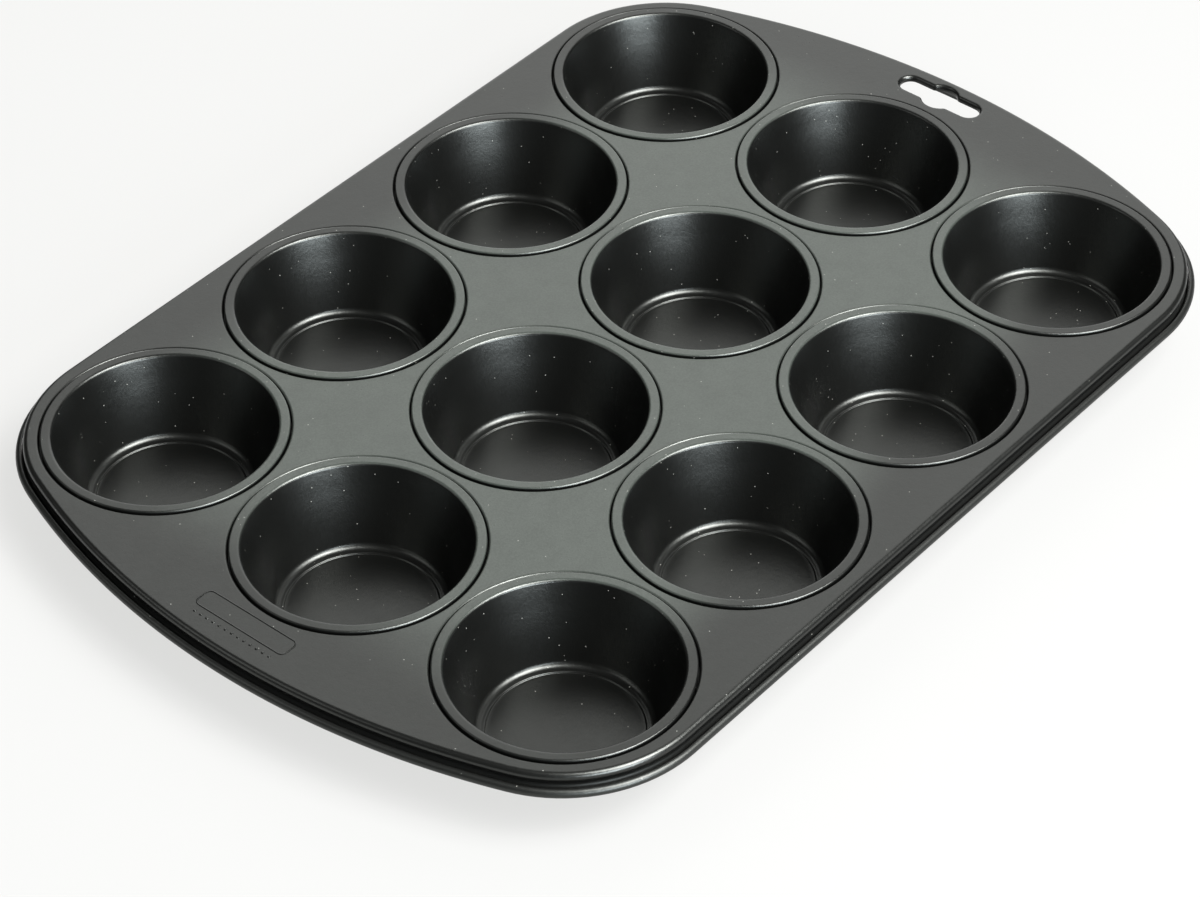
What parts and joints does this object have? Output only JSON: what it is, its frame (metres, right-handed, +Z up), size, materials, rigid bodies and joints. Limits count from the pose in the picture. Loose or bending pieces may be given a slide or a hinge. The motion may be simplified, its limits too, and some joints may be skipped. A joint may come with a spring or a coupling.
{
  "type": "muffin tin",
  "caption": "Shallow oven tray of dark coated sheet steel with a grid of round tapered cups, a rolled wire rim, bowed ends and a slotted hanging hole.",
  "frame": {"origin": "middle of the footprint, on the plane of the cup bases that the tin stands on", "axes": "+X along the long side towards the end with the hanging hole, +Y along the short side, +Z up out of the cups"},
  "size_m": [0.38, 0.2658, 0.0285],
  "materials": {
    "tray_coating": "satin dark grey non-stick coating over sheet steel, faint fine speckle",
    "cup_coating": "semi-gloss dark grey non-stick coating over drawn sheet steel",
    "wire_steel": "drawn mild steel wire, bare"
  },
  "bodies": {
    "root": {"tray_plate": "tray_coating", "rim_wire": "wire_steel", "cup_1_1": "cup_coating", "cup_1_2": "cup_coating", "cup_1_3": "cup_coating", "cup_2_1": "cup_coating", "cup_2_2": "cup_coating", "cup_2_3": "cup_coating", "cup_3_1": "cup_coating", "cup_3_2": "cup_coating", "cup_3_3": "cup_coating", "cup_4_1": "cup_coating", "cup_4_2": "cup_coating", "cup_4_3": "cup_coating"}
  },
  "joints": []
}
